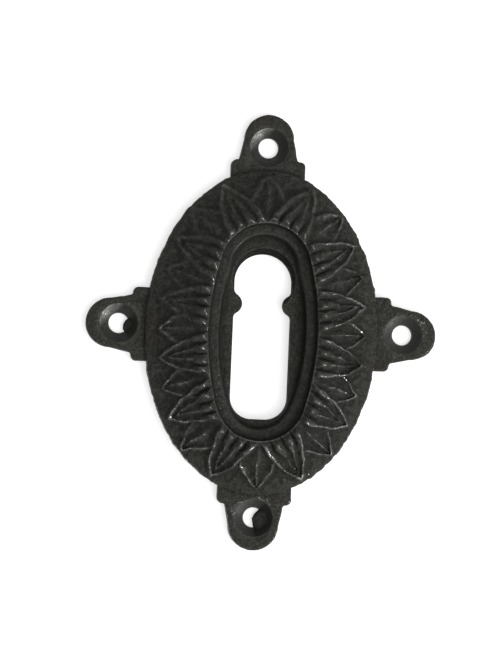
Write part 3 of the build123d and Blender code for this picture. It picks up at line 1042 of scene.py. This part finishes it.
def iron_material(name, finish, groups, colour, drilled=False, dull=False):
    """Old waxed iron: the cast skin, a drilled face with a painted highlight, or the keyhole's dull wall painted near
    black as shade.
    """
    material = bpy.data.materials.new(name)
    material.use_nodes = True
    tree = material.node_tree
    shader = tree.nodes["Principled BSDF"]
    place = Field(tree, tree.nodes.new("ShaderNodeTexCoord").outputs["Object"])
    ridge = attribute(tree, "ridge")
    grain = use_group(tree, groups["grain"], Place=place, Size=finish.grain)
    tint = use_group(
        tree, groups["tint"], Place=place, Ridge=ridge, Shelter=attribute(tree, "shelter"),
        From_Crest=attribute(tree, "from_crest"), Mottle=grain["Mottle"], Speck=grain["Speck"],
        Iron=(*colour, 1.0), Worn=(*(colour if dull else finish.worn), 1.0),
        Hollow=(*finish.hollow, 1.0), Rust=(*finish.rust, 1.0),
    )
    wire(tree, tint["Color"], shader.inputs["Base Color"])
    height = grain["Height"] * (1.0 - tint["Rubbed"] * 0.85)
    if drilled:
        rings = (attribute(tree, "from_screw") * (math.tau / 0.22)).math("SINE")
        height = height * 0.3 + rings * 0.06
        # A painted highlight: bright bare metal on the upper-left side of each sink, which faces the key light, more
        # in the top and the left lug than elsewhere
        x, y, _ = split(place)
        bare = attribute(tree, "sink_lean").ramp(1.1, 2.5) * (grain["Speck"] * -0.6 + 1.0)
        bare = bare * ((y - x).ramp(-0.03, 0.03) * 0.6 + 0.1)
        sink_highlight = blended(tree, bare, tint["Color"], (*finish.sink_highlight, 1.0))
        wire(tree, sink_highlight, shader.inputs["Base Color"])
        wire(tree, bare, shader.inputs["Metallic"])
    bump = add_node(
        tree, "ShaderNodeBump", Strength=1.0, Distance=finish.grain_height, Height=height
    )
    wire(tree, bump, shader.inputs["Normal"])
    rough = finish.roughness - (0.16 if drilled else 0.0)
    roughness = (grain["Mottle"] - 0.5) * 0.16 + tint["Sheltered"] * 0.15 - tint["Rubbed"] * 0.1 + rough
    wire(tree, roughness, shader.inputs["Roughness"])
    if not dull:
        wire(tree, tint["Shine"] * finish.polish, shader.inputs["Coat Weight"])
    shader.inputs["Coat Roughness"].default_value = 0.19
    shader.inputs["Coat IOR"].default_value = 2.1
    shader.inputs["Specular IOR Level"].default_value = 0.04 if dull else 0.14
    return material


class ESCUTCHEON_OT_casting(bpy.types.Operator):
    """Carve the wreath, join the lugs and cut the keyhole as one iron casting"""

    bl_idname = "escutcheon.casting"
    bl_label = "Iron casting"

    def execute(self, context):
        scene = context.scene
        sizes, carving = scene.escutcheon_sizes, scene.escutcheon_carving
        finish = scene.escutcheon_finish
        rows = casting_section(sizes)
        piece = section_object(rows)
        helpers = {
            "Lug": lug_blank(sizes),
            "Keyhole": keyhole_cutter(sizes),
            "Eye": eye_cutter(sizes),
            "Screw": screw_cutter(sizes),
        }
        groups = {"grain": grain_group(), "tint": tint_group()}
        wreath = WreathTree()
        modifier = piece.modifiers.new("petal_wreath_casting", "NODES")
        modifier.node_group = wreath.tree
        half_x, half_y = NODE_HIGH[0] / MM, NODE_HIGH[1] / MM
        values = {
            "Steps Round": 840,
            "Rows": len(rows),
            "Petals": carving.count,
            "Fan": carving.fan,
            "Unevenness": carving.unevenness,
            "Seed": carving.seed,
            "Side Screw": half_x - sizes.lug_tip / MM,
            "End Screw": half_y - sizes.lug_tip / MM,
            "Hole Radius": sizes.screw_hole / MM / 2,
            "Sink Radius": sizes.screw_sink / MM / 2 + 0.1,
            "Cast Iron": iron_material("cast_iron_skin", finish, groups, finish.iron),
            "Drilled Iron": iron_material("drilled_iron", finish, groups, finish.drilled, drilled=True),
            "Keyhole Wall": iron_material("keyhole_wall", finish, groups, finish.keyhole_shade, dull=True),
            **helpers,
        }
        for name in WreathTree.FLOATS:
            if name in values:
                continue
            key = name.lower().replace(" ", "_")
            source = sizes if hasattr(sizes, key) else carving
            values[name] = getattr(source, key) / MM
        for name, value in values.items():
            modifier[wreath.identifiers[name]] = value
        context.view_layer.update()
        evaluated = piece.evaluated_get(context.evaluated_depsgraph_get())
        mesh = bpy.data.meshes.new_from_object(evaluated)
        piece.modifiers.remove(modifier)
        mesh.transform(Matrix.Scale(MM, 4))
        piece.data = mesh
        mesh.name = piece.name
        for index in reversed(range(len(mesh.materials))):
            if mesh.materials[index] is None:
                mesh.materials.pop(index=index)
        for helper in helpers.values():
            bpy.data.objects.remove(helper)
        reach = max((abs(point.co.y) for point in mesh.vertices), default=0.0)
        if abs(reach - NODE_HIGH[1]) > 0.5 * MM:
            raise RuntimeError("the casting came out without its plate or lugs")
        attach(piece, BODY)
        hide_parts(NODE)
        return {"FINISHED"}


def aimed(location, target):
    """Matrix of a lamp at a place, turned to a target."""
    turn = (Vector(target) - Vector(location)).to_track_quat("-Z", "Y")
    return Matrix.LocRotScale(Vector(location), turn, None)


def area_light(name, location, target, size, power):
    """A square soft light."""
    lamp = bpy.data.lights.new(name, "AREA")
    lamp.size = size
    lamp.energy = power
    light = bpy.data.objects.new(name, lamp)
    light.matrix_world = aimed(location, target)
    bpy.context.scene.collection.objects.link(light)


class ESCUTCHEON_OT_stage(bpy.types.Operator):
    """Set the pale floor, the soft lights and the camera above the part"""

    bl_idname = "escutcheon.stage"
    bl_label = "Studio stage"

    def execute(self, context):
        scene = context.scene
        studio = scene.escutcheon_studio
        self.floor(scene, studio)
        self.lights(scene, studio)
        self.camera(scene, studio)
        scene.view_settings.view_transform = "Standard"
        return {"FINISHED"}

    def floor(self, scene, studio):
        """A wide pale floor that shows white and keeps the part's shadow."""
        mesh = bpy.data.meshes.new("studio_floor")
        half = 3.0
        mesh.from_pydata([(-half, -half, 0), (half, -half, 0), (half, half, 0), (-half, half, 0)], [], [(0, 1, 2, 3)])
        floor = bpy.data.objects.new("studio_floor", mesh)
        floor.location.z = -0.00002
        scene.collection.objects.link(floor)
        material = bpy.data.materials.new("studio_floor")
        material.use_nodes = True
        tree = material.node_tree
        shader = tree.nodes["Principled BSDF"]
        shader.inputs["Base Color"].default_value = (*studio.floor, 1.0)
        shader.inputs["Roughness"].default_value = 0.9
        shader.inputs["Specular IOR Level"].default_value = 0.0
        path = tree.nodes.new("ShaderNodeLightPath")
        seen = Field(tree, path.outputs["Is Camera Ray"])
        for ray in ("Is Glossy Ray", "Is Transmission Ray"):
            seen = seen.at_least(Field(tree, path.outputs[ray]))
        shader.inputs["Emission Color"].default_value = (1, 1, 1, 1)
        wire(tree, seen * 0.6, shader.inputs["Emission Strength"])
        floor.data.materials.append(material)

    def lights(self, scene, studio):
        """An even sky, a small key light at the lower right and a soft fill above."""
        world = bpy.data.worlds.new("studio_sky")
        world.use_nodes = True
        background = world.node_tree.nodes["Background"]
        background.inputs["Color"].default_value = (1.0, 1.0, 1.0, 1.0)
        background.inputs["Strength"].default_value = studio.sky
        scene.world = world
        area_light("key_light", (0.304, -0.213, 0.232), (0, 0, 0), 0.08, studio.key_power)
        area_light("soft_fill", (0.155, -0.108, 0.517), (0, 0, 0), 0.35, studio.fill_power)

    def camera(self, scene, studio):
        """A long lens almost straight above the part."""
        camera_data = bpy.data.cameras.new("studio_camera")
        camera = bpy.data.objects.new("studio_camera", camera_data)
        scene.collection.objects.link(camera)
        frame_height = 667 * studio.pixel
        camera_data.sensor_width = 36.0
        camera_data.lens = 36.0 * studio.distance / frame_height
        camera_data.clip_start, camera_data.clip_end = 0.01, 10.0
        away = Vector((-math.tan(studio.lean_left), -math.tan(studio.lean_down), 1.0)).normalized()
        turn = Matrix.Rotation(studio.roll, 3, "Z")
        right, up = turn @ Vector((1, 0, 0)), turn @ Vector((0, 1, 0))
        target = Vector((0, 0, 0.0012)) - right * 10.8 * studio.pixel - up * 0.9 * studio.pixel
        side = up.cross(away).normalized()
        top = away.cross(side)
        pose = Matrix((side, top, away)).transposed().to_4x4()
        pose.translation = target + away * studio.distance
        camera.matrix_world = pose
        scene.camera = camera


class ESCUTCHEON_PT_sidebar(bpy.types.Panel):
    """Lists the steps that build the part and its studio."""

    bl_label = "Keyhole escutcheon"
    bl_space_type = "VIEW_3D"
    bl_region_type = "UI"
    bl_category = "Escutcheon"

    def draw(self, context):
        for operator in OPERATORS:
            self.layout.operator(operator.bl_idname)
        for name, group in PROPERTY_GROUPS.items():
            box = self.layout.box()
            box.label(text=group.__doc__)
            for key in group.__annotations__:
                box.prop(getattr(context.scene, name), key)


OPERATORS = (ESCUTCHEON_OT_casting, ESCUTCHEON_OT_stage)


def register():
    for group in PROPERTY_GROUPS.values():
        bpy.utils.register_class(group)
    for name, group in PROPERTY_GROUPS.items():
        setattr(bpy.types.Scene, name, bpy.props.PointerProperty(type=group))
    for kind in (*OPERATORS, ESCUTCHEON_PT_sidebar):
        bpy.utils.register_class(kind)


def unregister():
    for kind in (ESCUTCHEON_PT_sidebar, *reversed(OPERATORS)):
        bpy.utils.unregister_class(kind)
    for name in PROPERTY_GROUPS:
        delattr(bpy.types.Scene, name)
    for group in reversed(PROPERTY_GROUPS.values()):
        bpy.utils.unregister_class(group)


def main():
    register()
    bpy.ops.escutcheon.casting()
    bpy.ops.escutcheon.stage()


if __name__ == "__main__":
    main()
